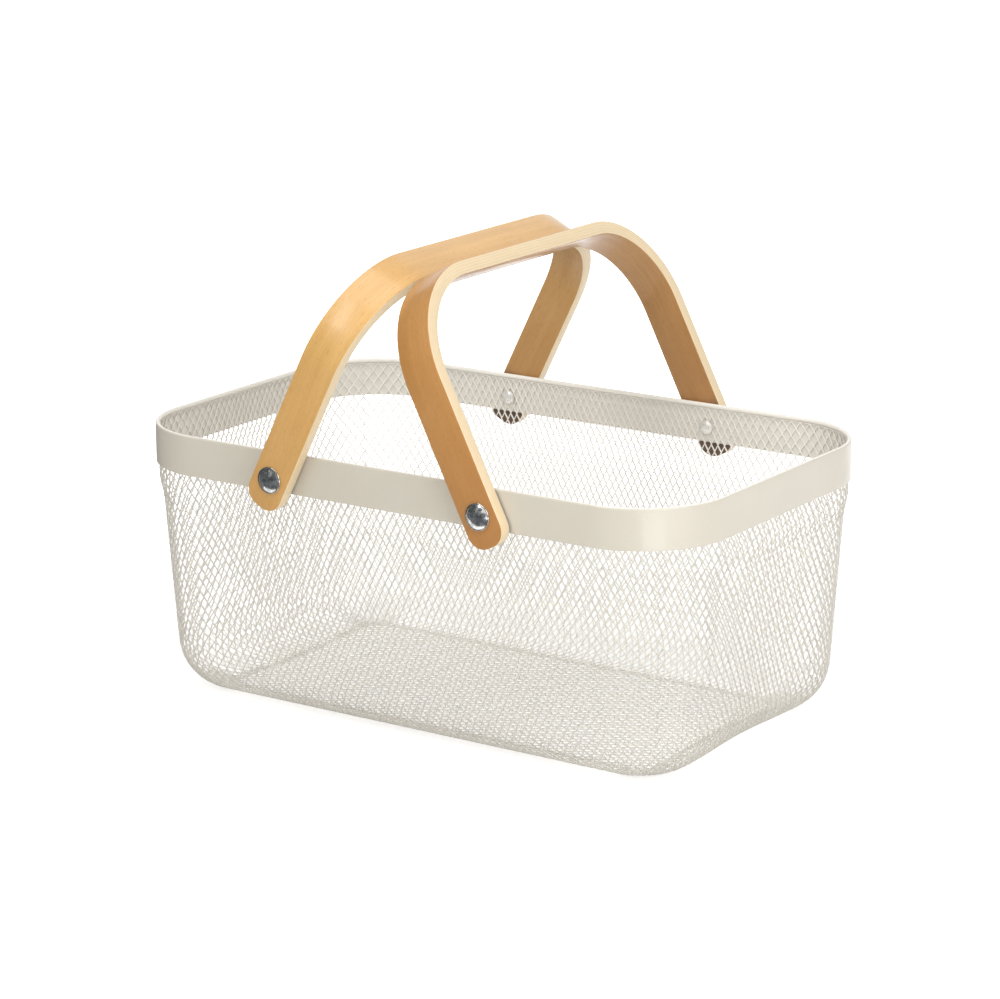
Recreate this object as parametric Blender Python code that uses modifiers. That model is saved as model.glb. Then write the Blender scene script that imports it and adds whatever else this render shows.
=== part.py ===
# Metal fruit basket: a pressed mesh tub under a rolled steel band,
# with two bentwood handles that turn on rivets.
# Metres, +Z up. The floor of the tub stands on z = 0, +X runs along the long side.

import math

import bmesh
import bpy
from mathutils import Matrix, Vector

# Rim band
BAND_LENGTH = 0.360
BAND_WIDTH = 0.221
BAND_CORNER_RADIUS = 0.051
BAND_HEIGHT = 0.0225
BAND_THICKNESS = 0.0010
ROLL_DIAMETER = 0.0026
RIM_HEIGHT = 0.154

# Mesh tub, as a closed sheet of the same outer shape
MESH_THICKNESS = 0.0012
MESH_STRAIGHT_DROP = 0.0090
MESH_STEP_DROP = 0.0110
MESH_STEP_INSET = 0.0022
MESH_TAPER = math.radians(4.0)
MESH_BOTTOM_RADIUS = 0.0290
END_WALL_BOW = 0.0030

# Handles
HANDLE_REACH = 0.1282
HANDLE_WIDTH = 0.0225
HANDLE_THICKNESS = 0.0075
HANDLE_BEND_RADIUS = 0.055
HANDLE_TAIL = 0.0175
HANDLE_END_RADIUS = 0.0095
HANDLE_EDGE_RADIUS = 0.0006

# Pivots
PIVOT_SPACING = 0.135
PIVOT_DEPTH = 0.0138

# Rivets and washers
SHANK_DIAMETER = 0.0050
PIN_DIAMETER = 0.0024
CAP_DIAMETER = 0.0148
CAP_HEIGHT = 0.0032
CAP_RIM_HEIGHT = 0.0006
HEAD_DIAMETER = 0.0080
HEAD_HEIGHT = 0.0016
HEAD_RIM_HEIGHT = 0.0005
WASHER_DIAMETER = 0.0130
WASHER_THICKNESS = 0.0005

# Clearance between pieces that touch or turn on each other
GAP = 0.0003

# How finely the round shapes are cut
CORNER_STEPS = 8
SIDE_STEPS = 4
END_STEPS = 8
STEP_RINGS = 6
BOTTOM_RINGS = 7
BEND_STEPS = 12
TURN_STEPS = 24
MERGE_DISTANCE = 0.00001
CUT_OVERRUN = 0.002

# Places worked out from the sizes above
BAND_SIDE = BAND_WIDTH / 2
MESH_INSET = BAND_THICKNESS + GAP
MESH_INNER_SIDE = BAND_SIDE - MESH_INSET - MESH_THICKNESS
PIVOT_OFFSET = PIVOT_SPACING / 2
PIVOT_HEIGHT = RIM_HEIGHT - PIVOT_DEPTH
WASHER_SIDE = BAND_SIDE + GAP
LEG_INNER_SIDE = WASHER_SIDE + WASHER_THICKNESS + GAP
LEG_OUTER_SIDE = LEG_INNER_SIDE + HANDLE_THICKNESS
CAP_SIDE = LEG_OUTER_SIDE + GAP
SHANK_LENGTH = CAP_SIDE - MESH_INNER_SIDE
SHANK_HOLE_RADIUS = SHANK_DIAMETER / 2 + GAP
BORE_RADIUS = PIN_DIAMETER / 2 + GAP
PIN_LENGTH = SHANK_LENGTH - GAP


def clear_scene():
    for old in list(bpy.data.objects):
        bpy.data.objects.remove(old, do_unlink=True)


def add_collection(name):
    collection = bpy.data.collections.new(name)
    bpy.context.scene.collection.children.link(collection)
    return collection


def make_material(name, color, roughness, metallic):
    material = bpy.data.materials.new(name)
    material.use_nodes = True
    shader = material.node_tree.nodes["Principled BSDF"]
    shader.inputs["Base Color"].default_value = (*color, 1.0)
    shader.inputs["Roughness"].default_value = roughness
    shader.inputs["Metallic"].default_value = metallic
    material.diffuse_color = (*color, 1.0)
    return material


def add_piece(name, mesh, collection, material=None, parent=None):
    piece = bpy.data.objects.new(name, mesh)
    collection.objects.link(piece)
    if material:
        mesh.materials.append(material)
    if parent:
        piece.parent = parent
    mesh.shade_smooth()
    mesh.set_sharp_from_angle(angle=math.radians(35))
    return piece


def finish_mesh(name, bm):
    bmesh.ops.remove_doubles(bm, verts=bm.verts, dist=MERGE_DISTANCE)
    bmesh.ops.recalc_face_normals(bm, faces=bm.faces)
    mesh = bpy.data.meshes.new(name)
    bm.to_mesh(mesh)
    bm.free()
    return mesh


def smooth_step(share):
    return share * share * (3 - 2 * share)


# The plan outline: (point, outward normal, share of the end wall's bow) all the way round
def rim_outline():
    half_x = BAND_LENGTH / 2 - BAND_CORNER_RADIUS
    half_y = BAND_WIDTH / 2 - BAND_CORNER_RADIUS
    corners = ((1, -1), (1, 1), (-1, 1), (-1, -1))
    outline = []
    for turn, (side_x, side_y) in enumerate(corners):
        center = Vector((side_x * half_x, side_y * half_y))
        for step in range(CORNER_STEPS + 1):
            angle = math.radians(90) * (turn - 1 + step / CORNER_STEPS)
            normal = Vector((math.cos(angle), math.sin(angle)))
            outline.append((center + BAND_CORNER_RADIUS * normal, normal, 0.0))
        next_x, next_y = corners[(turn + 1) % len(corners)]
        start = outline[-1][0]
        end = Vector((next_x * half_x, next_y * half_y)) + BAND_CORNER_RADIUS * normal
        is_end_wall = side_x == next_x
        steps = END_STEPS if is_end_wall else SIDE_STEPS
        for step in range(1, steps):
            share = step / steps
            bow_share = math.sin(math.pi * share) ** 2 if is_end_wall else 0.0
            outline.append((start.lerp(end, share), normal, bow_share))
    return outline


# A sheet of rings round the outline. Each section lists (inset, height, share of the bow)
def wrap_sections(outline, section, closed_section):
    around = len(outline)
    down = len(section) if closed_section else len(section) - 1
    bm = bmesh.new()
    bmesh.ops.create_grid(bm, x_segments=around, y_segments=down, size=0.5)
    for vertex in bm.verts:
        column = round((vertex.co.x + 0.5) * around) % around
        row = round((vertex.co.y + 0.5) * down) % len(section)
        point, normal, bow_share = outline[column]
        inset, height, depth_share = section[row]
        place = point - normal * (inset + END_WALL_BOW * bow_share * depth_share)
        vertex.co = (place.x, place.y, height)
    bmesh.ops.remove_doubles(bm, verts=bm.verts, dist=MERGE_DISTANCE)
    return bm


def band_section():
    roll_radius = ROLL_DIAMETER / 2
    roll_height = RIM_HEIGHT - roll_radius
    inner_angle = math.asin((roll_radius - BAND_THICKNESS) / roll_radius)
    sweep = math.radians(270) + inner_angle
    section = [(0.0, RIM_HEIGHT - BAND_HEIGHT, 0.0)]
    for step in range(CORNER_STEPS + 1):
        angle = math.radians(180) - sweep * step / CORNER_STEPS
        inset = roll_radius + roll_radius * math.cos(angle)
        section.append((inset, roll_height + roll_radius * math.sin(angle), 0.0))
    section.append((BAND_THICKNESS, RIM_HEIGHT - BAND_HEIGHT, 0.0))
    return section


def tub_section():
    top = RIM_HEIGHT - ROLL_DIAMETER - GAP
    step_top = RIM_HEIGHT - BAND_HEIGHT - MESH_STRAIGHT_DROP
    step_bottom = step_top - MESH_STEP_DROP
    step_inset = MESH_INSET + MESH_STEP_INSET
    section = [(MESH_INSET, top, 0.0)]
    for step in range(STEP_RINGS + 1):
        share = step / STEP_RINGS
        inset = MESH_INSET + MESH_STEP_INSET * smooth_step(share)
        section.append((inset, step_top - MESH_STEP_DROP * share, 0.0))
    bend_inset = (
        step_inset
        + (step_bottom - MESH_BOTTOM_RADIUS) * math.tan(MESH_TAPER)
        + MESH_BOTTOM_RADIUS / math.cos(MESH_TAPER)
    )
    for step in range(BOTTOM_RINGS + 1):
        angle = MESH_TAPER + (math.radians(90) - MESH_TAPER) * step / BOTTOM_RINGS
        inset = bend_inset - MESH_BOTTOM_RADIUS * math.cos(angle)
        height = MESH_BOTTOM_RADIUS - MESH_BOTTOM_RADIUS * math.sin(angle)
        section.append((inset, height, (step_bottom - height) / step_bottom))
    return section


def add_turned(name, profile, collection, material, parent, closed=False):
    bm = bmesh.new()
    points = [bm.verts.new((radius, 0.0, height)) for radius, height in profile]
    for first, second in zip(points, points[1:]):
        bm.edges.new((first, second))
    if closed:
        bm.edges.new((points[-1], points[0]))
    mesh = bpy.data.meshes.new(name)
    bm.to_mesh(mesh)
    bm.free()
    piece = add_piece(name, mesh, collection, material, parent)
    screw = piece.modifiers.new("Turn", "SCREW")
    screw.axis = "Z"
    screw.angle = math.radians(360)
    screw.steps = TURN_STEPS
    screw.render_steps = TURN_STEPS
    screw.use_merge_vertices = True
    screw.merge_threshold = MERGE_DISTANCE
    screw.use_smooth_shade = True
    return piece


def dome_points(radius, height, base_height):
    sphere_radius = (radius * radius + height * height) / (2 * height)
    sweep = math.asin(radius / sphere_radius)
    points = []
    for step in range(CORNER_STEPS + 1):
        angle = sweep * step / CORNER_STEPS
        drop = sphere_radius * (1 - math.cos(angle))
        points.append((sphere_radius * math.sin(angle), base_height + height - drop))
    return points


# A round hole along Y through both long walls at one pivot line
def add_hole_cutter(name, half_length, collection):
    bm = bmesh.new()
    bmesh.ops.create_cone(
        bm,
        cap_ends=True,
        segments=TURN_STEPS,
        radius1=SHANK_HOLE_RADIUS,
        radius2=SHANK_HOLE_RADIUS,
        depth=2 * (half_length + CUT_OVERRUN),
        matrix=Matrix.Rotation(math.radians(90), 4, "X"),
    )
    cutter = add_piece(name, finish_mesh(name, bm), collection)
    cutter.hide_render = True
    cutter.display_type = "WIRE"
    return cutter


def cut_hole(piece, cutter):
    cut = piece.modifiers.new(cutter.name, "BOOLEAN")
    cut.operation = "DIFFERENCE"
    cut.solver = "EXACT"
    cut.object = cutter


def add_rim_band(collection, material, parent, cutters):
    bm = wrap_sections(rim_outline(), band_section(), closed_section=True)
    band = add_piece("rim_band", finish_mesh("rim_band", bm), collection, material, parent)
    for cutter in cutters:
        cut_hole(band, cutter)
    return band


def add_mesh_tub(collection, material, parent, cutters):
    bm = wrap_sections(rim_outline(), tub_section(), closed_section=False)
    floor_edges = [
        edge
        for edge in bm.edges
        if edge.is_boundary and edge.verts[0].co.z < MERGE_DISTANCE
    ]
    bmesh.ops.contextual_create(bm, geom=floor_edges)
    tub = add_piece("mesh_body", finish_mesh("mesh_body", bm), collection, material, parent)
    sheet = tub.modifiers.new("Sheet", "SOLIDIFY")
    sheet.thickness = MESH_THICKNESS
    sheet.offset = -1
    sheet.use_even_offset = True
    for cutter in cutters:
        cut_hole(tub, cutter)
    return tub


# The outer face of a handle from the front leg's end to the back leg's, as (y, z) points
def handle_path():
    bend_side = LEG_OUTER_SIDE - HANDLE_BEND_RADIUS
    bend_height = HANDLE_REACH - HANDLE_BEND_RADIUS
    path = [(-LEG_OUTER_SIDE, -HANDLE_TAIL)]
    for step in range(BEND_STEPS + 1):
        angle = math.radians(90) * step / BEND_STEPS
        side = bend_side + HANDLE_BEND_RADIUS * math.cos(angle)
        path.append((-side, bend_height + HANDLE_BEND_RADIUS * math.sin(angle)))
    mirrored = [(-side, height) for side, height in reversed(path)]
    return path + mirrored


# The two handles lean in until their rounded outer edges meet over the middle
def handle_lean():
    reach = HANDLE_REACH - HANDLE_EDGE_RADIUS
    half_width = HANDLE_WIDTH / 2 - HANDLE_EDGE_RADIUS
    room = PIVOT_OFFSET - GAP / 2 - HANDLE_EDGE_RADIUS
    return math.asin(room / math.hypot(reach, half_width)) - math.atan2(half_width, reach)


def add_handle(name, side, collection, material, parent, cutter):
    path = handle_path()
    along = len(path) - 1
    bm = bmesh.new()
    bmesh.ops.create_grid(bm, x_segments=1, y_segments=along, size=0.5)
    for vertex in bm.verts:
        across, height = path[round((vertex.co.y + 0.5) * along)]
        vertex.co = (vertex.co.x * HANDLE_WIDTH, across, height)
    bmesh.ops.bevel(
        bm,
        geom=[vertex for vertex in bm.verts if len(vertex.link_edges) == 2],
        affect="VERTICES",
        offset=HANDLE_END_RADIUS,
        offset_type="OFFSET",
        segments=CORNER_STEPS,
        profile=0.5,
        material=-1,
    )
    bmesh.ops.recalc_face_normals(bm, faces=bm.faces)
    handle = add_piece(name, finish_mesh(name, bm), collection, material, parent)
    handle.location = (side * PIVOT_OFFSET, 0.0, PIVOT_HEIGHT)
    handle.rotation_euler.y = -side * handle_lean()
    strip = handle.modifiers.new("Strip", "SOLIDIFY")
    strip.thickness = HANDLE_THICKNESS
    strip.offset = -1
    strip.use_even_offset = True
    edges = handle.modifiers.new("Edges", "BEVEL")
    edges.width = HANDLE_EDGE_RADIUS
    edges.segments = 2
    edges.limit_method = "ANGLE"
    edges.angle_limit = math.radians(40)
    cut_hole(handle, cutter)
    return handle


# A turned piece's own Z points out of the basket
def face_outward(piece, side, end, depth):
    piece.location = (side * PIVOT_OFFSET, end * depth, PIVOT_HEIGHT)
    piece.rotation_euler.x = -end * math.radians(90)


def add_rivet_cap(name, side, end, collection, material, parent):
    shank_radius = SHANK_DIAMETER / 2
    profile = dome_points(CAP_DIAMETER / 2, CAP_HEIGHT - CAP_RIM_HEIGHT, CAP_RIM_HEIGHT)
    profile += [
        (CAP_DIAMETER / 2, 0.0),
        (shank_radius, 0.0),
        (shank_radius, -SHANK_LENGTH),
        (BORE_RADIUS, -SHANK_LENGTH),
        (BORE_RADIUS, 0.0),
        (0.0, 0.0),
    ]
    cap = add_turned(name, profile, collection, material, parent)
    face_outward(cap, side, end, CAP_SIDE)


def add_rivet_head(name, side, end, collection, material, parent):
    head_radius = HEAD_DIAMETER / 2
    pin_radius = PIN_DIAMETER / 2
    dome = dome_points(head_radius, HEAD_HEIGHT - HEAD_RIM_HEIGHT, HEAD_RIM_HEIGHT)
    profile = [(0.0, PIN_LENGTH), (pin_radius, PIN_LENGTH), (pin_radius, 0.0), (head_radius, 0.0)]
    profile += [(radius, -height) for radius, height in reversed(dome)]
    head = add_turned(name, profile, collection, material, parent)
    face_outward(head, side, end, MESH_INNER_SIDE - GAP)


def add_washer(name, side, end, collection, material, parent):
    outer_radius = WASHER_DIAMETER / 2
    profile = [
        (outer_radius, WASHER_THICKNESS),
        (outer_radius, 0.0),
        (SHANK_HOLE_RADIUS, 0.0),
        (SHANK_HOLE_RADIUS, WASHER_THICKNESS),
    ]
    washer = add_turned(name, profile, collection, material, parent, closed=True)
    face_outward(washer, side, end, WASHER_SIDE)


def build_basket():
    clear_scene()
    parts = add_collection("metal_fruit_basket")
    cutters = add_collection("cutters")
    paint = make_material("warm_gray_paint", (0.60, 0.55, 0.47), 0.45, 0.0)
    mesh_paint = make_material("mesh_paint", (0.68, 0.64, 0.57), 0.50, 0.0)
    wood = make_material("bent_plywood", (0.62, 0.37, 0.15), 0.50, 0.0)
    chrome = make_material("chrome", (0.78, 0.79, 0.80), 0.12, 1.0)
    pale_metal = make_material("pale_metal", (0.80, 0.78, 0.74), 0.30, 0.6)
    nylon = make_material("clear_nylon", (0.75, 0.74, 0.70), 0.40, 0.0)

    basket = bpy.data.objects.new("basket", None)
    parts.objects.link(basket)
    holes = {}
    for hand, side in (("left", -1), ("right", 1)):
        hole = add_hole_cutter(f"{hand}_pivot_hole", CAP_SIDE, cutters)
        hole.location = (side * PIVOT_OFFSET, 0.0, PIVOT_HEIGHT)
        holes[hand] = hole

    add_rim_band(parts, paint, basket, holes.values())
    add_mesh_tub(parts, mesh_paint, basket, holes.values())
    for hand, side in (("left", -1), ("right", 1)):
        add_handle(f"handle_{hand}", side, parts, wood, basket, holes[hand])
        for place, end in (("front", -1), ("back", 1)):
            spot = f"{hand}_{place}"
            add_rivet_cap(f"rivet_cap_{spot}", side, end, parts, chrome, basket)
            add_rivet_head(f"rivet_head_{spot}", side, end, parts, pale_metal, basket)
            add_washer(f"washer_{spot}", side, end, parts, nylon, basket)


build_basket()
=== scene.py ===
import math

import bmesh
import bpy
import numpy as np
from mathutils import Matrix, Quaternion, Vector


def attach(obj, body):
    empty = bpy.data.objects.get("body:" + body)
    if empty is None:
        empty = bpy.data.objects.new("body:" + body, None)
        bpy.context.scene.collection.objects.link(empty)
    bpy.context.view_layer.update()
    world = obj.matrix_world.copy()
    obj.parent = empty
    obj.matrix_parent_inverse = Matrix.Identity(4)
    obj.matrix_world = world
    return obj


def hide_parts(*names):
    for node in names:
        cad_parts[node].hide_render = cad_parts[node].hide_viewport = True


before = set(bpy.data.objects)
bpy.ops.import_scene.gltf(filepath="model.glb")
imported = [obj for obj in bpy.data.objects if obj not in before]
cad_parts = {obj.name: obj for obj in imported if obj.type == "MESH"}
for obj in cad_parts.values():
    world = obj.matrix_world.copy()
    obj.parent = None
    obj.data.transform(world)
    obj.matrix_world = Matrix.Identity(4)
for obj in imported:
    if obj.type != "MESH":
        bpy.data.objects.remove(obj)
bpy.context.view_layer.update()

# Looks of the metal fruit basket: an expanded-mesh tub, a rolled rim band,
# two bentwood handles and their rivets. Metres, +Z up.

# The rim band, as in the part
BAND_LENGTH = 0.360
BAND_WIDTH = 0.221
BAND_CORNER_RADIUS = 0.051
BAND_HEIGHT = 0.0225
BAND_THICKNESS = 0.0010
ROLL_RADIUS = 0.0013
RIM_HEIGHT = 0.154

# The tub's outer face, as in the part. FLOOR_INSET is how far inside the band's outline its flat floor
# starts
TUB_INSET = 0.0013
TUB_TOP = 0.1511
STEP_TOP = 0.1225
STEP_BOTTOM = 0.1115
STEP_INSET = 0.0022
WALL_TAPER = math.radians(4.0)
BOTTOM_RADIUS = 0.0290
END_WALL_BOW = 0.0030
WALL_INSET = (STEP_BOTTOM - BOTTOM_RADIUS) * math.tan(WALL_TAPER)
FLOOR_INSET = TUB_INSET + STEP_INSET + WALL_INSET + BOTTOM_RADIUS / math.cos(WALL_TAPER)

# The nets that the tub is shown as. The wall nets lie WALL_NET_DEPTH inside the tub's outer face and run
# on over the floor by FLANGE. A strand leans by up to STRAND_TWIST
WALL_NET_DEPTH = 0.0005
FLOOR_NET_LIFT = 0.0006
STRAND_WIDTH = 0.00046
STRAND_DEPTH = 0.00040
STRAND_TWIST = 0.00030
KNOT_LENGTH = 0.00022
MESH_COLUMNS = 212
MESH_ROWS = 21
FLANGE = 0.0038
FLOOR_CELL_LENGTH = 0.0082
FLOOR_CELL_WIDTH = 0.0047
FLOOR_EDGE_MARGIN = 0.001

# How much wider the cells are at the corners, on which share of the corner's arc to either side of its
# middle, and how far from there they narrow again
CORNER_STRETCH = 0.46
STRETCHED_SHARE = 0.32
STRETCH_FADE = 0.075

# The handles, as in the part
HANDLE_REACH = 0.1282
HANDLE_WIDTH = 0.0225
HANDLE_THICKNESS = 0.0075
HANDLE_BEND_RADIUS = 0.055
HANDLE_TAIL = 0.0175
HANDLE_END_RADIUS = 0.0095
HANDLE_EDGE_RADIUS = 0.0006
HANDLE_LEAN = math.radians(26.65)
LEG_OUTER_SIDE = 0.1191
PIVOT_OFFSET = 0.0675
PIVOT_HEIGHT = 0.1402
PIVOT_HOLE_RADIUS = 0.0028

# Where a handle's bend starts and ends and where its middle lies, along the flat strip
BEND_START = HANDLE_TAIL + HANDLE_REACH - HANDLE_BEND_RADIUS
BEND_END = BEND_START + HANDLE_BEND_RADIUS * math.pi / 2
STRIP_MIDDLE = BEND_END + LEG_OUTER_SIDE - HANDLE_BEND_RADIUS

# The plywood: how many plies it has, how far the face veneer's colour goes round the edge, and how far
# from the strip's end the inner face gets full painted shade, for the shade behind the band, and where
# that painted shade has faded out
PLIES = 5
VENEER_DEPTH = 0.00022
TAIL_FULL_SHADE_END = 0.022
TAIL_SHADE_FADE_END = 0.034

# The rivets: the domed caps and the inner heads, as in the part, and their finer sizes
CAP_SIDE = 0.1194
CAP_RADIUS = 0.0074
CAP_HEIGHT = 0.0032
CAP_DOME_RADIUS = 0.0068
CAP_DOME_BASE = 0.0006
CAP_LIP_RADIUS = 0.0004
CAP_FOOT_RADIUS = 0.0069
SHANK_RADIUS = 0.0025
SHANK_GAP = 0.0003
HEAD_SIDE = 0.1077
HEAD_RADIUS = 0.0040
HEAD_HEIGHT = 0.0016
HEAD_DOME_RADIUS = 0.0036
HEAD_DOME_BASE = 0.0005
HEAD_EDGE = ((0.0039, 0.0004), (HEAD_RADIUS, 0.0002), (HEAD_RADIUS, 0.0))

# How finely the curves are drawn
STEP_POINTS = 17
BOTTOM_POINTS = 25
ROLL_POINTS = 19
CORNER_STEPS = 24
LEG_POINTS = 8
BEND_POINTS = 25
TOP_POINTS = 6
DOME_POINTS = 13
LIP_POINTS = 8
TURN_STEPS = 40
STRIP_END_SEGMENTS = 12
STRIP_HOLE_SEGMENTS = 6
STRIP_EDGE_SEGMENTS = 3
OUTLINE_SAMPLES = 4001

# Small distances of the modelling, the angle from which a strip's edge is rounded, and the way out of
# the tub that weighs as much as the way up where inner faces are marked
BAND_EDGE_BEVEL = 0.00015
SLOPE_STEP = 0.0005
MERGE_DISTANCE = 0.00001
SAME_PLACE = 0.0001
ROUNDED_EDGE_ANGLE = 1.2
UPWARD_WEIGHT = 0.02

# The studio: how strong the world's light is, how pale the floor is and how much it glows, and what the
# lamps are aimed at
WORLD_FILL = 0.55
FLOOR_TONE = 0.80
FLOOR_GLOW = 0.45
FLOOR_SIZE = 16.0
LAMP_AIM = (0, 0, 0.12)
CORNER_AIM_HEIGHT = 0.143

# The camera: where it stands, what it looks at, its lens and sensor in millimetres, and its roll
CAMERA_PLACE = (1.0648, -1.5581, 0.6223)
CAMERA_AIM = (0.0, 0.0, 0.1125)
CAMERA_LENS = 127.4
CAMERA_SENSOR = 36.0
CAMERA_ROLL = math.radians(-0.333)

# The plan outline: half of its straight sides, the length of a corner and of a quarter of the way round
HALF_X = BAND_LENGTH / 2 - BAND_CORNER_RADIUS
HALF_Y = BAND_WIDTH / 2 - BAND_CORNER_RADIUS
CORNER_ARC = BAND_CORNER_RADIUS * math.pi / 2
QUARTER = HALF_X + CORNER_ARC + HALF_Y


# Materials: a wrapped socket whose Python signs add Math nodes, and one way to add any other node
class Value:
    def __init__(self, finish, socket):
        self.finish = finish
        self.socket = socket

    def __add__(self, other):
        return self.finish.math("ADD", self, other)

    def __radd__(self, other):
        return self.finish.math("ADD", other, self)

    def __sub__(self, other):
        return self.finish.math("SUBTRACT", self, other)

    def __rsub__(self, other):
        return self.finish.math("SUBTRACT", other, self)

    def __mul__(self, other):
        return self.finish.math("MULTIPLY", self, other)

    def __rmul__(self, other):
        return self.finish.math("MULTIPLY", other, self)

    def __truediv__(self, other):
        return self.finish.math("DIVIDE", self, other)

    def __pow__(self, other):
        return self.finish.math("POWER", self, other)

    def __gt__(self, other):
        return self.finish.math("GREATER_THAN", self, other)

    def __lt__(self, other):
        return self.finish.math("LESS_THAN", self, other)

    def __abs__(self):
        return self.finish.math("ABSOLUTE", self)

    def clamp(self):
        return self.finish.result("ShaderNodeClamp", {}, {"Value": self})


# The nodes of one material, or of the world
class Finish:
    def __init__(self, owner):
        self.owner = owner
        owner.use_nodes = True
        self.tree = owner.node_tree
        self.tree.nodes.clear()

    def node(self, kind, settings=None, inputs=None):
        made = self.tree.nodes.new(kind)
        for name, value in (settings or {}).items():
            setattr(made, name, value)
        for name, value in (inputs or {}).items():
            if isinstance(value, Value):
                self.tree.links.new(value.socket, made.inputs[name])
            else:
                made.inputs[name].default_value = value
        return made

    def result(self, kind, settings=None, inputs=None, output=0):
        return Value(self, self.node(kind, settings, inputs).outputs[output])

    def math(self, operation, *terms):
        return self.result("ShaderNodeMath", {"operation": operation}, dict(enumerate(terms)))

    def object_place(self):
        return self.result("ShaderNodeTexCoord", output="Object")

    def attribute(self, name, output):
        return self.result("ShaderNodeAttribute", {"attribute_name": name}, output=output)

    def parts(self, vector):
        split = self.node("ShaderNodeSeparateXYZ", {}, {0: vector})
        return [Value(self, output) for output in split.outputs]

    def stretched(self, vector, scale):
        return self.result("ShaderNodeMapping", {}, {"Vector": vector, "Scale": scale})

    def noise(self, vector, scale, detail=2.0, roughness=0.5):
        values = {"Vector": vector, "Scale": scale, "Detail": detail, "Roughness": roughness}
        return self.result("ShaderNodeTexNoise", {}, values)

    # 0 below low, 1 above high and a smooth rise between them
    def spread(self, value, low, high):
        settings = {"interpolation_type": "SMOOTHSTEP"}
        values = {"Value": value, "From Min": low, "From Max": high}
        return self.result("ShaderNodeMapRange", settings, values)

    def mix(self, share, first, second, blend="MIX"):
        settings = {"data_type": "RGBA", "blend_type": blend}
        return self.result("ShaderNodeMix", settings, {0: share, 6: first, 7: second}, 2)

    def bump(self, height, distance, strength):
        values = {"Height": height, "Distance": distance, "Strength": strength}
        return self.result("ShaderNodeBump", {}, values)

    def surface(self, **values):
        named = {name.replace("_", " "): value for name, value in values.items()}
        shader = self.result("ShaderNodeBsdfPrincipled", {}, named)
        self.node("ShaderNodeOutputMaterial", {}, {0: shader})
        return self.owner


def new_finish(name):
    return Finish(bpy.data.materials.new(name))


def color(red, green, blue):
    return (red, green, blue, 1.0)


# The band's inner side, where its paint gets painted light, by how far a place lies inside its plan
# outline, a rectangle with round corners
def inside_band(finish, place):
    x, y = finish.parts(place)[:2]
    over_x, over_y = abs(x) - HALF_X, abs(y) - HALF_Y
    round_x, round_y = (finish.math("MAXIMUM", over, 0.0) for over in (over_x, over_y))
    flat = finish.math("MINIMUM", finish.math("MAXIMUM", over_x, over_y), 0.0)
    inside = BAND_CORNER_RADIUS - (round_x * round_x + round_y * round_y) ** 0.5 - flat
    return inside > BAND_THICKNESS / 2


# The nets' faces that look up or into the tub, as mark_inner_side has marked them, where the paint gets
# painted light
def marked_inner_side(finish, place):
    return finish.attribute("inner_side", "Fac")


# Painted steel: a fine skin texture, faint clouds and a few paler specks under a clear coat. The inner
# side gets painted light: a paler tone than the outer side, in place of the light that falls on it
def make_steel_paint(name, light, dark, skin_scale, coat, find_painted_light_side, painted_light_share):
    finish = new_finish(name)
    place = finish.object_place()
    clouds = finish.spread(finish.noise(place, scale=22.0, detail=3.0), 0.3, 0.7)
    skin = finish.noise(place, skin_scale, roughness=0.6)
    specks = finish.spread(finish.noise(place, skin_scale * 0.35, detail=1.0), 0.68, 0.74)
    tone = (clouds * 0.6 + finish.spread(skin, 0.3, 0.7) * 0.4).clamp()
    speck_color = color(*(min(1.0, part * 1.12) for part in light))
    # Painted light: the pale tone the inner side gets in place of the light falling on it
    painted_light_inner_color = color(0.935, 0.905, 0.840)
    base = finish.mix(tone, color(*dark), color(*light))
    base = finish.mix(specks * 0.25, base, speck_color)
    base = finish.mix(find_painted_light_side(finish, place) * painted_light_share, base, painted_light_inner_color)
    rough = finish.spread(finish.noise(place, scale=60.0), 0.3, 0.7) * 0.08 + 0.38
    return finish.surface(
        Base_Color=base,
        Roughness=rough,
        Normal=finish.bump(skin, 0.00006, 0.35),
        Coat_Weight=coat,
        Coat_Roughness=0.18,
    )
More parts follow.
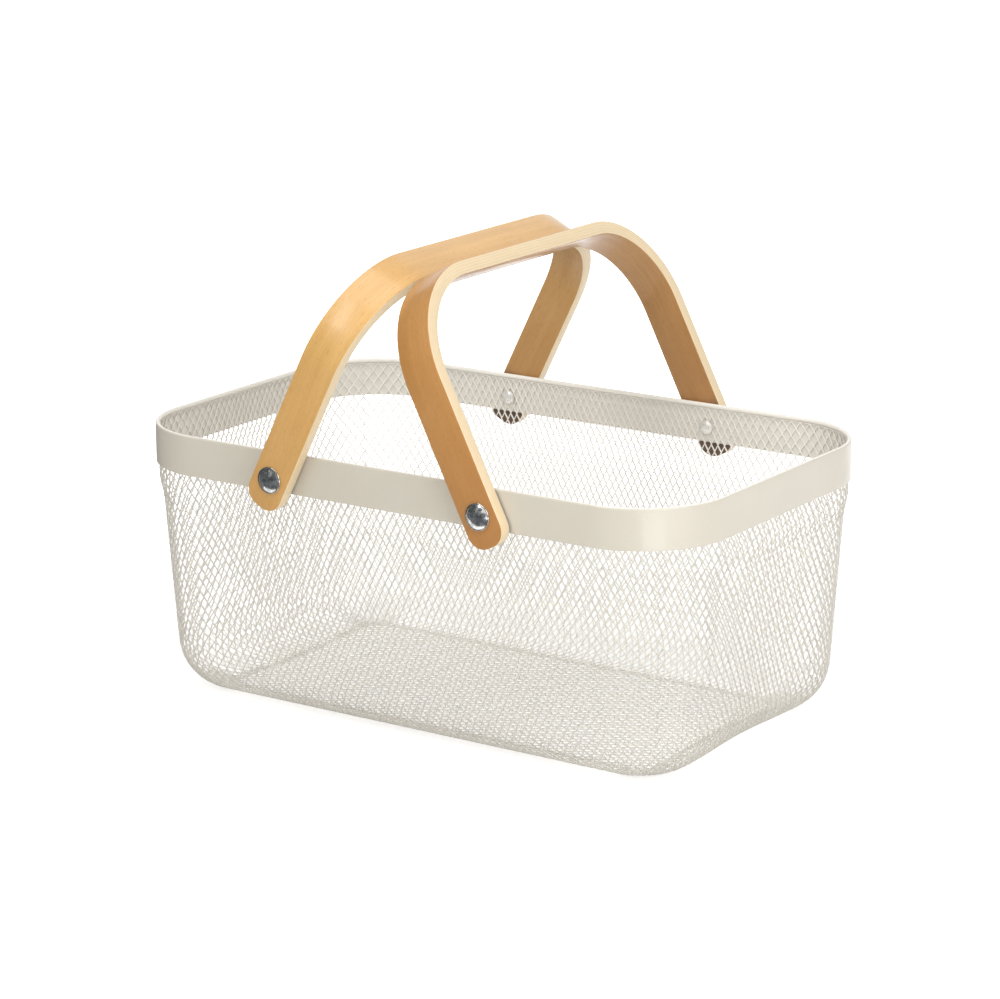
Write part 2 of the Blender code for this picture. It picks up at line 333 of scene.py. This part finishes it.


# Bent plywood: face veneer with grain along the strip, darker towards its lower ends and on the right
# handle, painted shade on its inner face, darkest near the strip's ends behind the band, and cream plies
# on the cut edges
def make_plywood(name):
    finish = new_finish(name)
    strip = finish.attribute("strip", "Vector")
    along, across, depth = finish.parts(strip)
    to_end = STRIP_MIDDLE - abs(along - STRIP_MIDDLE)
    on_right = across > 0
    inner_face = depth > HANDLE_THICKNESS - VENEER_DEPTH
    cut_edge = (depth > VENEER_DEPTH) * (depth < HANDLE_THICKNESS - VENEER_DEPTH)

    def grain(stretch, detail=2.0, roughness=0.5, scale=1.0):
        return finish.noise(finish.stretched(strip, stretch), scale, detail, roughness)

    broad = grain((5.0, 90.0, 30.0), detail=3.0, roughness=0.55, scale=1.6)
    bands = finish.spread(broad, 0.30, 0.70)
    fine = grain((22.0, 1300.0, 60.0), detail=3.0, roughness=0.6)
    pores = finish.spread(grain((260.0, 2300.0, 60.0), detail=1.0), 0.60, 0.70)
    blotch = finish.spread(grain((24.0, 34.0, 1.0)), 0.35, 0.75)
    low_end = 1 - finish.spread(to_end, 0.0, 0.11)
    face = finish.mix(bands, color(0.680, 0.382, 0.108), color(0.760, 0.452, 0.142))
    face = finish.mix(finish.spread(fine, 0.35, 0.75) * 0.45, face, color(0.640, 0.345, 0.095))
    face = finish.mix(blotch * 0.38, face, color(0.840, 0.520, 0.200))
    face = finish.mix(pores * 0.45, face, color(0.470, 0.215, 0.060))
    face = finish.mix(low_end * 0.40, face, color(0.560, 0.275, 0.080))
    outer_tint = finish.mix(on_right, color(1.0, 1.0, 1.0), color(0.760, 0.625, 0.530))
    # Painted shade: the inner face is darker and greyer than the outer face
    painted_shade_inner_tint = finish.mix(on_right, color(0.735, 0.695, 0.740), color(0.665, 0.585, 0.610))
    face = finish.mix(1.0, face, finish.mix(inner_face, outer_tint, painted_shade_inner_tint), "MULTIPLY")
    # Painted shade: near the strip's ends the inner face, in the shade behind the band, is painted dark
    # brown
    painted_shade_tail = inner_face * (1 - finish.spread(to_end, TAIL_FULL_SHADE_END, TAIL_SHADE_FADE_END))
    face = finish.mix(painted_shade_tail, face, color(0.150, 0.085, 0.045))

    # Glue lies where the count of plies is whole, and each ply darkens a little towards the next
    ply = depth / (HANDLE_THICKNESS / PLIES)
    ply_share = finish.math("FRACT", ply)
    to_glue = finish.math("PINGPONG", ply, 1.0)
    glue = 1 - finish.spread(to_glue, 0.0, 0.14) * finish.spread(1 - to_glue, 0.0, 0.14)
    edge = finish.mix(ply_share, color(0.880, 0.725, 0.480), color(0.830, 0.645, 0.390))
    edge_fine = finish.spread(grain((140.0, 60.0, 1800.0)), 0.35, 0.8)
    edge = finish.mix(edge_fine * 0.25, edge, color(0.720, 0.520, 0.290))
    edge = finish.mix(glue * 0.30, edge, color(0.560, 0.370, 0.190))

    height = fine * 0.6 - pores * 0.5 - glue * cut_edge * 0.8
    return finish.surface(
        Base_Color=finish.mix(cut_edge, face, edge),
        Roughness=finish.spread(fine, 0.3, 0.7) * 0.10 + 0.40 + cut_edge * 0.14,
        Normal=finish.bump(height, 0.00008, 0.5),
        Coat_Weight=0.85,
        Coat_Roughness=0.20,
    )


# Bright or pale metal with clouds and fine marks; smooth and rough are the ends of its roughness. On the
# chrome the dark clouds are painted reflection, mottles like a dark surrounding mirrored in it; on the
# pale metal they are its own uneven tone
def make_metal(name, light, dark, smooth, rough, metallic, dimple):
    finish = new_finish(name)
    place = finish.object_place()
    stretched = finish.stretched(place, (900.0, 900.0, 500.0))
    marks = finish.noise(stretched, scale=1.0, detail=3.0, roughness=0.6)
    # On the chrome these clouds from dark to light are painted reflection
    cloud = finish.spread(finish.noise(place, scale=420.0, detail=3.0, roughness=0.6), 0.35, 0.65)
    return finish.surface(
        Base_Color=finish.mix(cloud, color(*dark), color(*light)),
        Roughness=finish.spread(marks, 0.35, 0.75) * (rough - smooth) + smooth,
        Metallic=metallic,
        Normal=finish.bump(marks, dimple, 0.4),
    )


def make_nylon(name):
    finish = new_finish(name)
    cloud = finish.spread(finish.noise(finish.object_place(), scale=400.0), 0.3, 0.7)
    base = finish.mix(cloud, color(0.66, 0.65, 0.61), color(0.76, 0.75, 0.71))
    return finish.surface(Base_Color=base, Roughness=cloud * 0.1 + 0.38)


def add_object(name, bm, material):
    mesh = bpy.data.meshes.new(name)
    bm.to_mesh(mesh)
    bm.free()
    mesh.materials.append(material)
    made = bpy.data.objects.new(name, mesh)
    bpy.context.scene.collection.objects.link(made)
    return made


# Every new piece: its mesh in place, its body, the CAD nodes it stands for and its slot. Its shading
# breaks at edges sharper than the angle in degrees
def add_piece(name, bm, body, nodes, material, sharp_angle=180):
    piece = add_object(name, bm, material)
    piece.data.shade_smooth()
    if sharp_angle < 180:
        piece.data.set_sharp_from_angle(angle=math.radians(sharp_angle))
    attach(piece, body)
    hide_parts(*nodes)
    return piece


def smooth_step(share):
    return share * share * (3 - 2 * share)


# A place on the plan outline: point, outward normal and share of the end wall's bow
def outline_at(distance):
    quadrant = int(distance // QUARTER) % 4
    left = distance % QUARTER
    if quadrant in (1, 3):
        left = QUARTER - left
    bow = 0.0
    if left < HALF_X:
        point, normal = Vector((left, -BAND_WIDTH / 2)), Vector((0, -1))
    elif left < HALF_X + CORNER_ARC:
        angle = (left - HALF_X) / BAND_CORNER_RADIUS
        normal = Vector((math.sin(angle), -math.cos(angle)))
        point = Vector((HALF_X, -HALF_Y)) + BAND_CORNER_RADIUS * normal
    else:
        past = left - HALF_X - CORNER_ARC
        point, normal = Vector((BAND_LENGTH / 2, past - HALF_Y)), Vector((1, 0))
        bow = math.sin(math.pi * past / (2 * HALF_Y)) ** 2
    side_x = 1 if quadrant in (0, 1) else -1
    side_y = 1 if quadrant in (0, 3) else -1
    mirror = Vector((side_x, side_y))
    return point * mirror, normal * mirror, bow


# The tub's section as a fine line of (inset, height, share of the bow), from the top to the floor flange
def tub_line():
    line = [(TUB_INSET, TUB_TOP, 0.0)]
    for share in np.linspace(0, 1, STEP_POINTS):
        inset = TUB_INSET + STEP_INSET * smooth_step(share)
        line.append((inset, STEP_TOP - (STEP_TOP - STEP_BOTTOM) * share, 0.0))
    for angle in np.linspace(WALL_TAPER, math.pi / 2, BOTTOM_POINTS):
        height = BOTTOM_RADIUS * (1 - math.sin(angle))
        inset = FLOOR_INSET - BOTTOM_RADIUS * math.cos(angle)
        line.append((inset, height, (STEP_BOTTOM - height) / STEP_BOTTOM))
    line.append((FLOOR_INSET + FLANGE, 0.0, 1.0))
    return np.array(line)


# Cells are widest at the corners, where the sheet is stretched, and narrowest in the middle of a wall.
# Gives the share of the columns and the distance along the outline at each sample
def column_distances():
    distance = np.linspace(0, 4 * QUARTER, OUTLINE_SAMPLES)
    inside = distance % (2 * QUARTER)
    inside = np.minimum(inside, 2 * QUARTER - inside)
    from_corner = np.abs(inside - HALF_X - CORNER_ARC / 2)
    off_corner = np.maximum(from_corner - CORNER_ARC * STRETCHED_SHARE, 0)
    near = np.clip(1 - off_corner / STRETCH_FADE, 0, 1)
    width = 1 + CORNER_STRETCH * smooth_step(near)
    count = np.concatenate(([0], np.cumsum(1 / width[:-1])))
    return count / count[-1], distance


# Turns a plain grid into diamonds: each square gets its middle, all points go to their place, and the
# grid's own edges go
def net_from_grid(bm, place):
    centers = set(bmesh.ops.poke(bm, faces=bm.faces[:])["verts"])
    for vertex in bm.verts:
        vertex.co = place(vertex.co.x + 0.5, vertex.co.y + 0.5)
    bmesh.ops.remove_doubles(bm, verts=bm.verts, dist=MERGE_DISTANCE)
    first_edges = [
        edge
        for edge in bm.edges
        if not edge.is_boundary and edge.verts[0] not in centers and edge.verts[1] not in centers
    ]
    bmesh.ops.dissolve_edges(bm, edges=first_edges, use_verts=False)


# Leaves a strand round each diamond. As in stretched sheet, each strand leans, so its inner face
# looks up, and the knots between the diamonds are longer than the strands are wide
def open_diamonds(bm, directions):
    diamonds = bm.faces[:]
    bmesh.ops.inset_individual(bm, faces=diamonds, thickness=STRAND_WIDTH / 2, use_even_offset=True)
    for face in diamonds:
        middle = face.calc_center_median()
        out, rise = directions(face, middle)
        reach = max(abs((vertex.co - middle).dot(rise)) for vertex in face.verts)
        for vertex in face.verts:
            share = (vertex.co - middle).dot(rise) / reach
            vertex.co = vertex.co - out * STRAND_TWIST * share - rise * KNOT_LENGTH * share ** 3
    bmesh.ops.delete(bm, geom=diamonds, context="FACES")


# The level way out of the tub to a place. It is zero over the middle of the floor and fans out at the
# corners
def way_out(place):
    reach_x, reach_y = HALF_X - FLANGE, HALF_Y - FLANGE
    inner = Vector((min(max(place.x, -reach_x), reach_x), min(max(place.y, -reach_y), reach_y), place.z))
    return place - inner


# The way out of the tub and the way up its wall, at one diamond of the wall nets
def wall_directions(face, middle):
    outward = way_out(middle).normalized()
    out = face.normal if face.normal.dot(outward - Vector((0, 0, 1))) > 0 else -face.normal
    rise = outward + Vector((0, 0, 1))
    return out, (rise - out * rise.dot(out)).normalized()


def floor_directions(face, middle):
    return Vector((0, 0, -1)), Vector((0, 1, 0))


# Marks the faces that look up or into the tub, which get painted light: a paler tone in place of the
# light they catch
def mark_inner_side(mesh):
    marks = mesh.attributes.new("inner_side", "FLOAT", "FACE")
    for face in mesh.polygons:
        inward = face.normal.z * UPWARD_WEIGHT - way_out(face.center).dot(face.normal)
        marks.data[face.index].value = 1.0 if inward > 0 else 0.0


# The strands get their depth in the mesh itself, so that its inner faces can be marked
def give_depth(piece):
    depth = piece.modifiers.new("Strand depth", "SOLIDIFY")
    depth.thickness = STRAND_DEPTH
    depth.offset = 0
    deep_piece = piece.evaluated_get(bpy.context.evaluated_depsgraph_get())
    flat_mesh, deep_mesh = piece.data, bpy.data.meshes.new_from_object(deep_piece)
    piece.modifiers.clear()
    piece.data = deep_mesh
    bpy.data.meshes.remove(flat_mesh)
    deep_mesh.name = piece.name
    mark_inner_side(deep_mesh)


# Which wall a place belongs to. The walls part in the middle of the corners
def wall_at(place):
    if abs(place.y) > abs(place.x) + (HALF_Y - HALF_X):
        return "front" if place.y < 0 else "back"
    return "left" if place.x < 0 else "right"


def make_wall_nets(material):
    line = tub_line()
    steps = np.hypot(np.diff(line[:, 0]), np.diff(line[:, 1]))
    down = np.concatenate(([0], np.cumsum(steps)))
    shares, distances = column_distances()

    def section_at(drop):
        return [float(np.interp(drop, down, line[:, i])) for i in range(3)]

    def place(share_x, share_y):
        point, normal, bow = outline_at(float(np.interp(share_x, shares, distances)) % (4 * QUARTER))
        drop = (1 - share_y) * down[-1]
        inset, height, bow_share = section_at(drop)
        ahead, behind = section_at(drop + SLOPE_STEP), section_at(drop - SLOPE_STEP)
        run = Vector((ahead[0] - behind[0], ahead[1] - behind[1])).normalized()
        inset -= run.y * WALL_NET_DEPTH
        height += run.x * WALL_NET_DEPTH
        flat = point - normal * (inset + END_WALL_BOW * bow * bow_share)
        return Vector((flat.x, flat.y, height))

    bm = bmesh.new()
    bmesh.ops.create_grid(bm, x_segments=MESH_COLUMNS, y_segments=MESH_ROWS, size=0.5)
    net_from_grid(bm, place)
    bm.normal_update()
    open_diamonds(bm, wall_directions)
    for wall in ("front", "back", "left", "right"):
        part = bm.copy()
        others = [face for face in part.faces if wall_at(face.calc_center_median()) != wall]
        bmesh.ops.delete(part, geom=others, context="FACES")
        give_depth(add_piece(f"mesh_{wall}", part, "basket", ["mesh_body"], material))
    bm.free()


def make_floor_net(material):
    half_length = BAND_LENGTH / 2 - FLOOR_INSET
    half_width = BAND_WIDTH / 2 - FLOOR_INSET
    corner = BAND_CORNER_RADIUS - FLOOR_INSET
    columns = math.ceil(2 * half_length / FLOOR_CELL_LENGTH)
    rows = math.ceil(2 * half_width / FLOOR_CELL_WIDTH)
    length, width = columns * FLOOR_CELL_LENGTH, rows * FLOOR_CELL_WIDTH
    bm = bmesh.new()
    bmesh.ops.create_grid(bm, x_segments=columns, y_segments=rows, size=0.5)
    net_from_grid(bm, lambda x, y: Vector(((x - 0.5) * length, (y - 0.5) * width, FLOOR_NET_LIFT)))
    outside = []
    for face in bm.faces:
        middle = face.calc_center_median()
        over_x = max(abs(middle.x) - half_length + corner, 0)
        over_y = max(abs(middle.y) - half_width + corner, 0)
        bow = END_WALL_BOW * math.cos(math.pi * middle.y / (2 * HALF_Y)) ** 2
        if math.hypot(over_x + (bow if over_x else 0), over_y) > corner - FLOOR_EDGE_MARGIN:
            outside.append(face)
    bmesh.ops.delete(bm, geom=outside, context="FACES")
    bm.normal_update()
    open_diamonds(bm, floor_directions)
    give_depth(add_piece("mesh_floor", bm, "basket", ["mesh_body"], material))


# The band's section is swept round the rim: a quarter turn at each corner, then a straight side
def make_rim_band(material):
    low_edge = RIM_HEIGHT - BAND_HEIGHT
    roll_height = RIM_HEIGHT - ROLL_RADIUS
    inner_angle = math.asin((ROLL_RADIUS - BAND_THICKNESS) / ROLL_RADIUS)
    section = [(BAND_EDGE_BEVEL, low_edge), (0.0, low_edge + BAND_EDGE_BEVEL)]
    for angle in np.linspace(math.pi, -math.pi / 2 - inner_angle, ROLL_POINTS):
        section.append((ROLL_RADIUS * (1 + math.cos(angle)), roll_height + ROLL_RADIUS * math.sin(angle)))
    section.append((BAND_THICKNESS, low_edge + BAND_EDGE_BEVEL))
    section.append((BAND_THICKNESS - BAND_EDGE_BEVEL, low_edge))
    bm = bmesh.new()
    points = [bm.verts.new((HALF_X, inset - BAND_WIDTH / 2, height)) for inset, height in section]
    ends = points + [bm.edges.new(pair) for pair in zip(points, points[1:] + points[:1])]
    corners_and_runs = (
        (1, -1, (0, 2 * HALF_Y, 0)),
        (1, 1, (-2 * HALF_X, 0, 0)),
        (-1, 1, (0, -2 * HALF_Y, 0)),
        (-1, -1, (2 * HALF_X, 0, 0)),
    )
    for side_x, side_y, run in corners_and_runs:
        ends = bmesh.ops.spin(
            bm,
            geom=ends,
            cent=(side_x * HALF_X, side_y * HALF_Y, 0),
            axis=(0, 0, 1),
            angle=math.pi / 2,
            steps=CORNER_STEPS,
        )["geom_last"]
        last_edges = [part for part in ends if isinstance(part, bmesh.types.BMEdge)]
        ends = bmesh.ops.extrude_edge_only(bm, edges=last_edges)["geom"]
        moved = [part for part in ends if isinstance(part, bmesh.types.BMVert)]
        bmesh.ops.translate(bm, verts=moved, vec=run)
        ends = moved + [
            part
            for part in ends
            if isinstance(part, bmesh.types.BMEdge) and all(end in moved for end in part.verts)
        ]
    bmesh.ops.remove_doubles(bm, verts=bm.verts, dist=MERGE_DISTANCE)
    bmesh.ops.recalc_face_normals(bm, faces=bm.faces)
    add_piece("steel_band", bm, "basket", ["rim_band"], material, sharp_angle=40)


# Bends the flat strip: s runs along its outer face, d is the depth below it
def bend_strip(place):
    s, across, d = place
    side = -1
    if s > STRIP_MIDDLE:
        s = 2 * STRIP_MIDDLE - s
        side = 1
    if s < BEND_START:
        y, z = LEG_OUTER_SIDE - d, s - HANDLE_TAIL
    elif s < BEND_END:
        angle = (s - BEND_START) / HANDLE_BEND_RADIUS
        y = LEG_OUTER_SIDE - HANDLE_BEND_RADIUS + (HANDLE_BEND_RADIUS - d) * math.cos(angle)
        z = HANDLE_REACH - HANDLE_BEND_RADIUS + (HANDLE_BEND_RADIUS - d) * math.sin(angle)
    else:
        y, z = STRIP_MIDDLE - s, HANDLE_REACH - d
    return Vector((across, side * y, z))


def bevel(bm, parts, affect, size, segments):
    return bmesh.ops.bevel(
        bm,
        geom=parts,
        affect=affect,
        offset=size,
        offset_type="OFFSET",
        segments=segments,
        profile=0.5,
        material=-1,
    )["faces"]


# A flat strip with round ends and two pivot holes gets its thickness and small edge rounds, is bent, and
# leans to its place. Each point keeps where it lay on the flat strip, which the grain follows
def make_handle(hand, side, material):
    half_line = [0.0, HANDLE_TAIL]
    half_line += list(np.linspace(HANDLE_TAIL, BEND_START, LEG_POINTS)[1:])
    half_line += list(np.linspace(BEND_START, BEND_END, BEND_POINTS)[1:])
    half_line += list(np.linspace(BEND_END, STRIP_MIDDLE, TOP_POINTS)[1:])
    total = 2 * STRIP_MIDDLE
    stations = half_line + [total - place for place in reversed(half_line[:-1])]
    along = len(stations) - 1

    bm = bmesh.new()
    bmesh.ops.create_grid(bm, x_segments=along, y_segments=2, size=0.5)
    for vertex in bm.verts:
        station = stations[round((vertex.co.x + 0.5) * along)]
        vertex.co = (station, vertex.co.y * HANDLE_WIDTH, 0)
    corners = [vertex for vertex in bm.verts if len(vertex.link_edges) == 2]
    bevel(bm, corners, "VERTICES", HANDLE_END_RADIUS, STRIP_END_SEGMENTS)
    pivots = [
        vertex
        for vertex in bm.verts
        if abs(vertex.co.y) < SAME_PLACE
        and min(abs(vertex.co.x - HANDLE_TAIL), abs(vertex.co.x - total + HANDLE_TAIL)) < SAME_PLACE
    ]
    new_faces = bevel(bm, pivots, "VERTICES", PIVOT_HOLE_RADIUS, STRIP_HOLE_SEGMENTS)
    holes = [face for face in new_faces if len(face.verts) > 2 * STRIP_HOLE_SEGMENTS]
    bmesh.ops.delete(bm, geom=holes, context="FACES")
    raised = bmesh.ops.extrude_face_region(bm, geom=bm.faces[:])["geom"]
    lower = [part for part in raised if isinstance(part, bmesh.types.BMVert)]
    bmesh.ops.translate(bm, verts=lower, vec=(0, 0, HANDLE_THICKNESS))
    bmesh.ops.recalc_face_normals(bm, faces=bm.faces)
    bm.normal_update()
    rim = [
        edge
        for edge in bm.edges
        if len(edge.link_faces) == 2 and edge.calc_face_angle() > ROUNDED_EDGE_ANGLE
    ]
    bevel(bm, rim, "EDGES", HANDLE_EDGE_RADIUS, STRIP_EDGE_SEGMENTS)
    strip = bm.verts.layers.float_vector.new("strip")
    for vertex in bm.verts:
        vertex[strip] = vertex.co + Vector((0, side * HANDLE_REACH, 0))
        vertex.co = bend_strip(vertex.co)
    lean = Matrix.Rotation(-side * HANDLE_LEAN, 4, "Y")
    pivot = Matrix.Translation((side * PIVOT_OFFSET, 0, PIVOT_HEIGHT))
    bmesh.ops.transform(bm, matrix=pivot @ lean, verts=bm.verts)
    bmesh.ops.recalc_face_normals(bm, faces=bm.faces)
    nodes = [f"handle_{hand}"]
    add_piece(f"bentwood_{hand}", bm, f"{hand}_handle", nodes, material, sharp_angle=35)


# A turned piece of the basket: its profile is spun about +Z, then turned and put in its place
def make_turned(name, profile, matrix, node, material):
    bm = bmesh.new()
    points = [bm.verts.new((radius, 0, height)) for radius, height in profile]
    edges = [bm.edges.new(pair) for pair in zip(points, points[1:])]
    bmesh.ops.spin(
        bm,
        geom=points + edges,
        cent=(0, 0, 0),
        axis=(0, 0, 1),
        angle=math.tau,
        steps=TURN_STEPS,
        use_merge=True,
    )
    bmesh.ops.remove_doubles(bm, verts=bm.verts, dist=MERGE_DISTANCE)
    bmesh.ops.recalc_face_normals(bm, faces=bm.faces)
    bmesh.ops.transform(bm, matrix=matrix, verts=bm.verts)
    add_piece(name, bm, "basket", [node], material, sharp_angle=40)


# The profile of a dome, a part of a ball, from its middle to its edge at the height of the base
def dome(radius, height, base):
    ball = (radius * radius + height * height) / (2 * height)
    sweep = math.asin(radius / ball)
    return [
        (ball * math.sin(sweep * share), base + height - ball * (1 - math.cos(sweep * share)))
        for share in np.linspace(0, 1, DOME_POINTS)
    ]


def make_rivets(chrome, pale_metal):
    shank_end = HEAD_SIDE + SHANK_GAP - CAP_SIDE
    cap = dome(CAP_DOME_RADIUS, CAP_HEIGHT - CAP_DOME_BASE, CAP_DOME_BASE)
    for angle in np.linspace(math.radians(120), math.radians(-70), LIP_POINTS):
        across = CAP_RADIUS - CAP_LIP_RADIUS + CAP_LIP_RADIUS * math.cos(angle)
        cap.append((across, CAP_LIP_RADIUS + CAP_LIP_RADIUS * math.sin(angle)))
    cap += [(CAP_FOOT_RADIUS, 0.0), (SHANK_RADIUS, 0.0), (SHANK_RADIUS, shank_end), (0.0, shank_end)]
    head = dome(HEAD_DOME_RADIUS, HEAD_HEIGHT - HEAD_DOME_BASE, HEAD_DOME_BASE)
    head += [*HEAD_EDGE, (0.0, 0.0)]
    for hand, side in (("left", -1), ("right", 1)):
        for spot, end in (("front", -1), ("back", 1)):
            outward = Matrix.Rotation(-end * math.pi / 2, 4, "X")
            inward = Matrix.Rotation(end * math.pi / 2, 4, "X")
            at_cap = Matrix.Translation((side * PIVOT_OFFSET, end * CAP_SIDE, PIVOT_HEIGHT)) @ outward
            at_head = Matrix.Translation((side * PIVOT_OFFSET, end * HEAD_SIDE, PIVOT_HEIGHT)) @ inward
            where = f"{hand}_{spot}"
            cap_node, head_node = f"rivet_cap_{where}", f"rivet_head_{where}"
            make_turned(f"domed_cap_{where}", cap, at_cap, cap_node, chrome)
            make_turned(f"pale_head_{where}", head, at_head, head_node, pale_metal)


def add_camera():
    camera_data = bpy.data.cameras.new("photo_camera")
    camera_data.sensor_fit = "HORIZONTAL"
    camera_data.sensor_width = CAMERA_SENSOR
    camera_data.lens = CAMERA_LENS
    camera_data.clip_start = 0.05
    camera_data.clip_end = 50.0
    camera = bpy.data.objects.new("photo_camera", camera_data)
    bpy.context.scene.collection.objects.link(camera)
    camera.location = CAMERA_PLACE
    camera.rotation_mode = "QUATERNION"
    track = (Vector(CAMERA_AIM) - camera.location).to_track_quat("-Z", "Y")
    camera.rotation_quaternion = track @ Quaternion((0, 0, 1), CAMERA_ROLL)
    bpy.context.scene.camera = camera


# A softbox at an azimuth from the front and a height angle, both in degrees, turned to its aim
def add_lamp(name, azimuth, elevation, distance, width, height, radiance, aim=LAMP_AIM):
    lamp_data = bpy.data.lights.new(name, "AREA")
    lamp_data.shape = "RECTANGLE"
    lamp_data.size = width
    lamp_data.size_y = height
    lamp_data.energy = radiance * math.pi * width * height
    lamp = bpy.data.objects.new(name, lamp_data)
    bpy.context.scene.collection.objects.link(lamp)
    around, up = math.radians(azimuth), math.radians(elevation)
    back = Vector((math.sin(around) * math.cos(up), -math.cos(around) * math.cos(up), math.sin(up)))
    lamp.location = Vector(aim) + back * distance
    lamp.rotation_mode = "QUATERNION"
    lamp.rotation_quaternion = (-back).to_track_quat("-Z", "Y")
    lamp.visible_camera = False


# 1 where a ray shows the background: straight, mirrored or through something clear
def shows_background(finish):
    path = finish.node("ShaderNodeLightPath")
    names = ("Is Camera Ray", "Is Glossy Ray", "Is Transmission Ray")
    seen, mirrored, through = (Value(finish, path.outputs[name]) for name in names)
    return (seen + mirrored + through).clamp()


# The world lights the basket evenly and looks plain white
def add_world():
    world = bpy.data.worlds.new("studio")
    bpy.context.scene.world = world
    finish = Finish(world)
    fill_values = {"Color": color(1.0, 0.99, 0.97), "Strength": WORLD_FILL}
    fill = finish.result("ShaderNodeBackground", {}, fill_values)
    white = finish.result("ShaderNodeBackground", {}, {"Color": color(1.0, 1.0, 1.0)})
    shown = finish.result("ShaderNodeMixShader", {}, {0: shows_background(finish), 1: fill, 2: white})
    finish.node("ShaderNodeOutputWorld", {}, {0: shown})


# The floor keeps a faint shadow near the basket and turns plain white further out
def make_floor_finish():
    finish = new_finish("white_floor")
    length = {"operation": "LENGTH"}
    away = finish.result("ShaderNodeVectorMath", length, {0: finish.object_place()}, "Value")
    strength = finish.spread(away, 0.25, 0.7) * 0.55 + FLOOR_GLOW
    tone = color(FLOOR_TONE, FLOOR_TONE, FLOOR_TONE * 0.99)
    matte = finish.result("ShaderNodeBsdfDiffuse", {}, {"Color": tone})
    glow_values = {"Color": color(1.0, 1.0, 1.0), "Strength": strength}
    glow = finish.result("ShaderNodeEmission", {}, glow_values)
    bright = finish.result("ShaderNodeAddShader", {}, {0: matte, 1: glow})
    shown = finish.result("ShaderNodeMixShader", {}, {0: shows_background(finish), 1: matte, 2: bright})
    finish.node("ShaderNodeOutputMaterial", {}, {0: shown})
    return finish.owner


def add_stage_plane(name, width, depth, matrix, material):
    bm = bmesh.new()
    bmesh.ops.create_grid(bm, x_segments=1, y_segments=1, size=0.5)
    bmesh.ops.scale(bm, vec=(width, depth, 1), verts=bm.verts)
    bmesh.ops.transform(bm, matrix=matrix, verts=bm.verts)
    plane = add_object(name, bm, material)
    return plane


# Dark cards that only reflections show, mostly those in the front chrome caps. Each has its width and
# depth, the place of its middle and its turn
def add_dark_cards():
    finish = new_finish("dark_card")
    material = finish.surface(Base_Color=color(0.12, 0.13, 0.14), Roughness=0.9)
    level = Matrix()
    upright = Matrix.Rotation(math.radians(90), 4, "X")
    sideways = Matrix.Rotation(math.radians(-75), 4, "Z") @ upright
    leaning = Matrix.Rotation(math.radians(-20), 4, "Z") @ Matrix.Rotation(math.radians(56), 4, "X")
    cards = (
        ("left_card", 1.10, 1.20, (-0.60, -0.26, 0.60), sideways),
        ("front_card", 1.50, 0.40, (-0.10, -0.86, 0.20), upright),
        ("floor_card", 1.30, 0.65, (-0.15, -0.515, 0.002), level),
        ("left_floor_card", 0.60, 0.68, (-0.55, 0.16, 0.002), level),
        ("cap_card", 0.30, 0.12, (-0.043, -0.239, 0.224), leaning),
    )
    for name, width, depth, place, turn in cards:
        card = add_stage_plane(name, width, depth, Matrix.Translation(place) @ turn, material)
        card.visible_camera = False
        card.visible_diffuse = False
        card.visible_shadow = False
        card.visible_transmission = False


# Each lamp has its azimuth and height angle, distance, width, height and radiance. The corner strip
# is aimed at the near corner of the band
def add_studio():
    add_world()
    add_stage_plane("studio_floor", FLOOR_SIZE, FLOOR_SIZE, Matrix(), make_floor_finish())
    add_dark_cards()
    corner_reach = math.sqrt(0.5) * BAND_CORNER_RADIUS
    near_corner = (HALF_X + corner_reach, -HALF_Y - corner_reach, CORNER_AIM_HEIGHT)
    add_lamp("top_softbox", 0, 80, 2.2, 1.6, 1.6, 1.9)
    add_lamp("front_softbox", -16, 39, 2.8, 0.6, 2.0, 4.0)
    add_lamp("side_softbox", 60, 25, 1.1, 0.6, 0.6, 3.4)
    add_lamp("corner_strip", 46, -14, 0.4, 0.20, 0.07, 3.6, near_corner)


def build_looks():
    bpy.context.scene.view_settings.view_transform = "Standard"
    add_camera()
    add_studio()
    # Both paints get painted light on their inner side, a paler tone than outside
    band_paint = make_steel_paint(
        "band_paint",
        light=(0.655, 0.612, 0.524),
        dark=(0.622, 0.578, 0.489),
        skin_scale=1500.0,
        coat=0.5,
        find_painted_light_side=inside_band,
        painted_light_share=0.80,
    )
    mesh_paint = make_steel_paint(
        "mesh_paint",
        light=(0.770, 0.735, 0.665),
        dark=(0.730, 0.695, 0.620),
        skin_scale=2200.0,
        coat=0.0,
        find_painted_light_side=marked_inner_side,
        painted_light_share=0.9,
    )
    plywood = make_plywood("plywood")
    # The chrome's dark mottles are painted reflection
    chrome = make_metal(
        "chrome",
        light=(0.84, 0.84, 0.83),
        dark=(0.46, 0.47, 0.47),
        smooth=0.12,
        rough=0.32,
        metallic=1.0,
        dimple=0.00012,
    )
    pale_metal = make_metal(
        "pale_metal",
        light=(0.90, 0.88, 0.84),
        dark=(0.82, 0.80, 0.76),
        smooth=0.20,
        rough=0.32,
        metallic=0.35,
        dimple=0.00003,
    )
    nylon = make_nylon("clear_nylon")
    make_wall_nets(mesh_paint)
    make_floor_net(mesh_paint)
    make_rim_band(band_paint)
    make_handle("left", -1, plywood)
    make_handle("right", 1, plywood)
    make_rivets(chrome, pale_metal)
    for name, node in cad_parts.items():
        if name.startswith("washer_"):
            node.data.materials.clear()
            node.data.materials.append(nylon)


build_looks()
